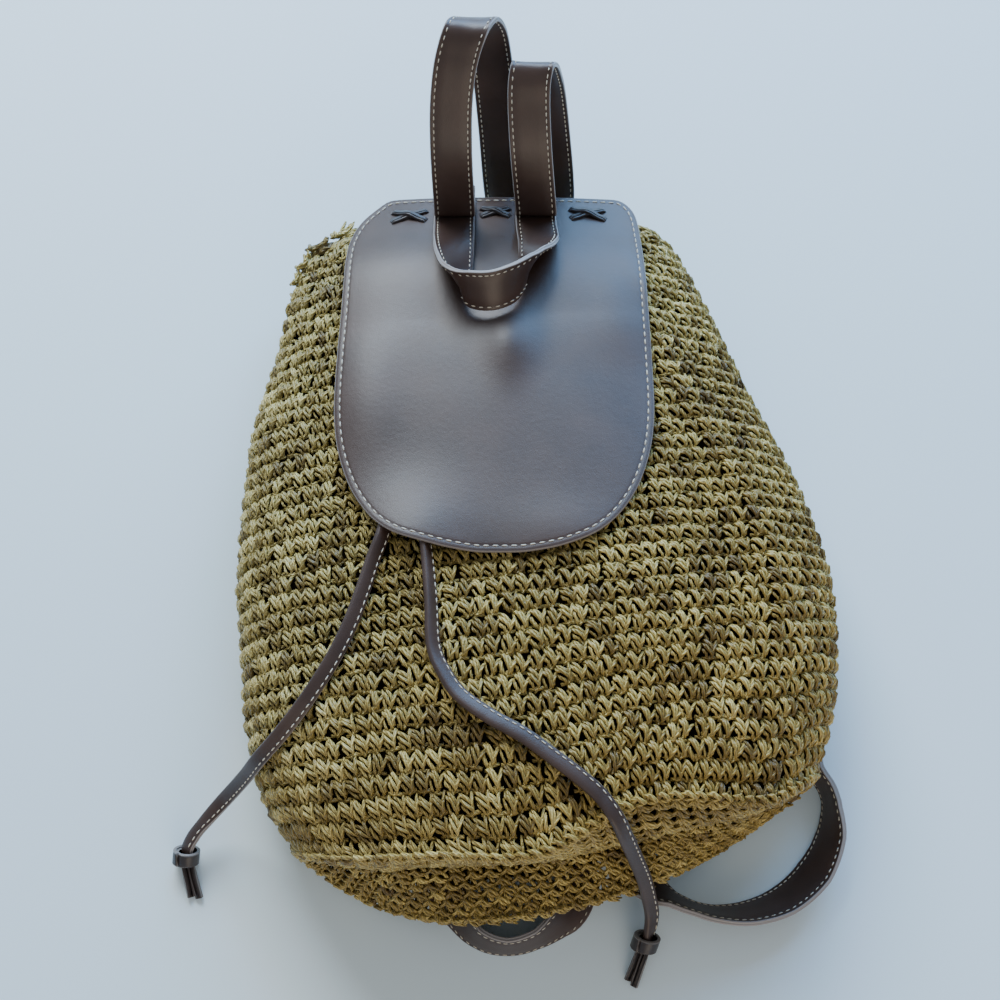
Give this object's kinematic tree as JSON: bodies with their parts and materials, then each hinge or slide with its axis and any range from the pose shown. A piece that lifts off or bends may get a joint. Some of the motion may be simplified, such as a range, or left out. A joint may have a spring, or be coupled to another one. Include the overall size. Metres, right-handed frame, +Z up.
{
  "type": "woven straw backpack",
  "caption": "Soft crocheted straw backpack with a leather flap, handle, shoulder straps and drawstrings, lying on its back.",
  "frame": {"origin": "on the floor, under the middle of the box of everything but the drawstrings and their knots", "axes": "+Z up from the floor; +Y from the base towards the mouth and the standing strap loops; +X to the right when seen from above"},
  "size_m": [0.3092, 0.431, 0.138],
  "materials": {
    "straw": "matte",
    "leather": "satin",
    "lace_leather": "satin",
    "cord_leather": "satin"
  },
  "bodies": {
    "root": {"straw_body": "straw", "flap": "leather", "lacing_left": "lace_leather", "lacing_centre": "lace_leather", "lacing_right": "lace_leather", "handle": "leather", "shoulder_strap_left": "leather", "shoulder_strap_right": "leather", "drawstring_left": "cord_leather", "drawstring_right": "cord_leather", "knot_left": "cord_leather", "knot_right": "cord_leather"}
  },
  "joints": []
}
